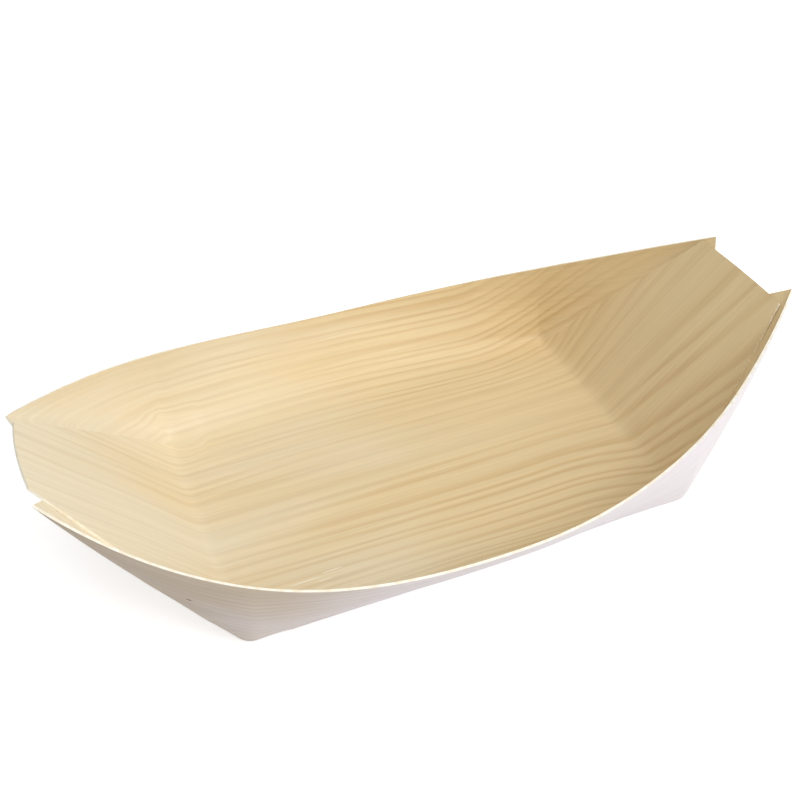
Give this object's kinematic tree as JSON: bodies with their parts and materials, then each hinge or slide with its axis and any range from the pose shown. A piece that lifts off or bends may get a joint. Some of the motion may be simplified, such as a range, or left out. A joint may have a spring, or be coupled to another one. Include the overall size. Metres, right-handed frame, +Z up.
{
  "type": "wooden food boat",
  "caption": "Disposable serving boat folded from a single sheet of thin pale wood veneer, with a flat floor, flared sides and raised ends closed by a folded tongue and glued flaps.",
  "frame": {"origin": "under the middle of the floor, on the surface that the boat stands on", "axes": "+X along the boat towards the end with the longer tips, +Y across it towards the side whose flaps lie outermost, +Z up"},
  "size_m": [0.2204, 0.1154, 0.046],
  "materials": {
    "veneer": "bare peeled veneer, matt, grain running from end to end"
  },
  "bodies": {
    "root": {"veneer_boat": "veneer"}
  },
  "joints": []
}
